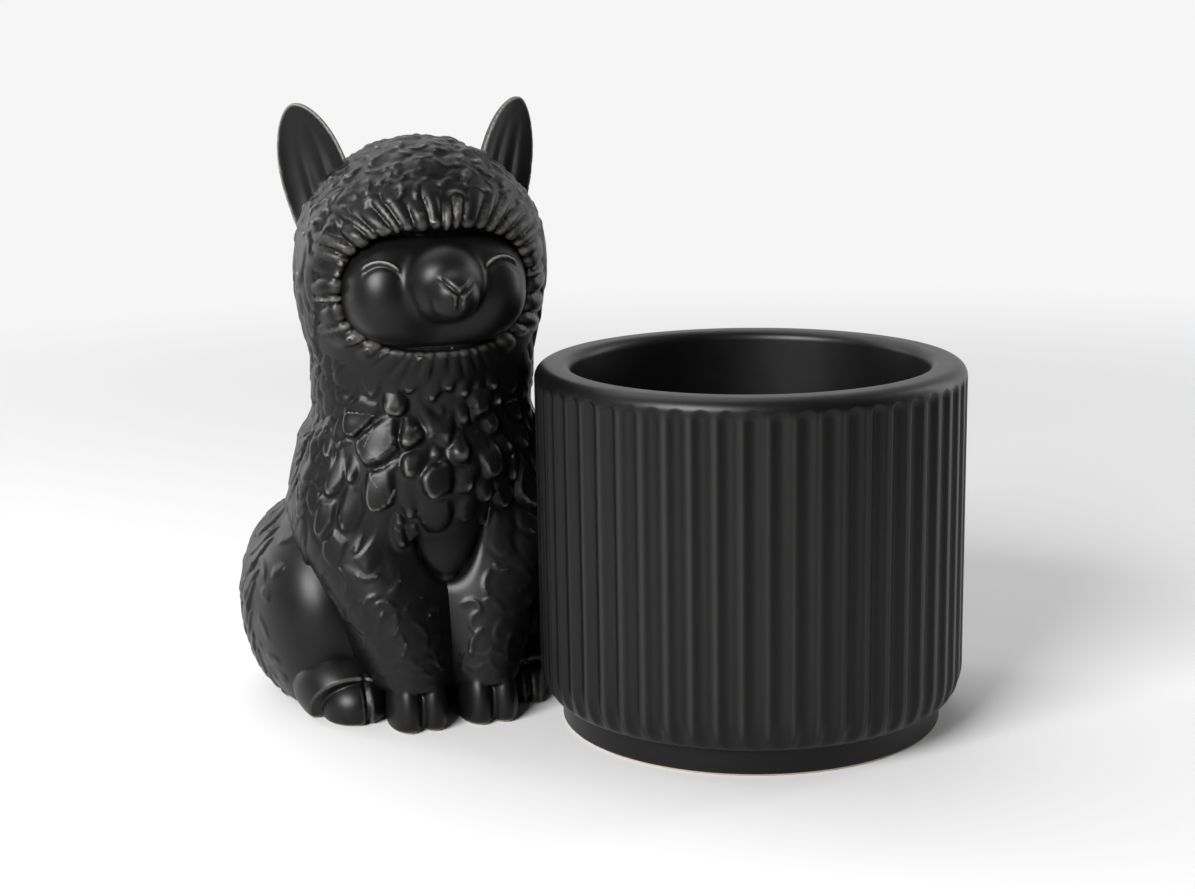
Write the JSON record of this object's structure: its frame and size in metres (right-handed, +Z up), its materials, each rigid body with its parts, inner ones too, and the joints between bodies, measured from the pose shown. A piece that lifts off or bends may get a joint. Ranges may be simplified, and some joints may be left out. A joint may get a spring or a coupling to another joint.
{
  "type": "animal shaped planter",
  "caption": "Matt black glazed planter: a fluted round pot with a recessed foot and a seated woolly alpaca figure luted to its side; a rubber stopper closes the drain hole.",
  "frame": {"origin": "centre of the pot's foot, on the floor", "axes": "+Z up along the pot's axis, +X from the alpaca towards the pot, the front faces -Y"},
  "size_m": [0.229, 0.1604, 0.189],
  "materials": {
    "black_glaze": "matt satin glaze",
    "stopper_rubber": "matte"
  },
  "bodies": {
    "planter": {"fluted_pot": "black_glaze", "body_casting": "black_glaze", "head_casting": "black_glaze", "tail": "black_glaze", "right_ear": "black_glaze", "left_ear": "black_glaze", "right_foreleg": "black_glaze", "left_foreleg": "black_glaze", "right_haunch": "black_glaze", "left_haunch": "black_glaze", "right_hind_foot": "black_glaze", "left_hind_foot": "black_glaze"},
    "stopper": {"drain_plug": "stopper_rubber"}
  },
  "joints": [
    {"name": "stopper_lift", "type": "slide", "parent": "planter", "child": "stopper", "axis": [0, 0, 1], "range_m": [0, 0.12]}
  ]
}
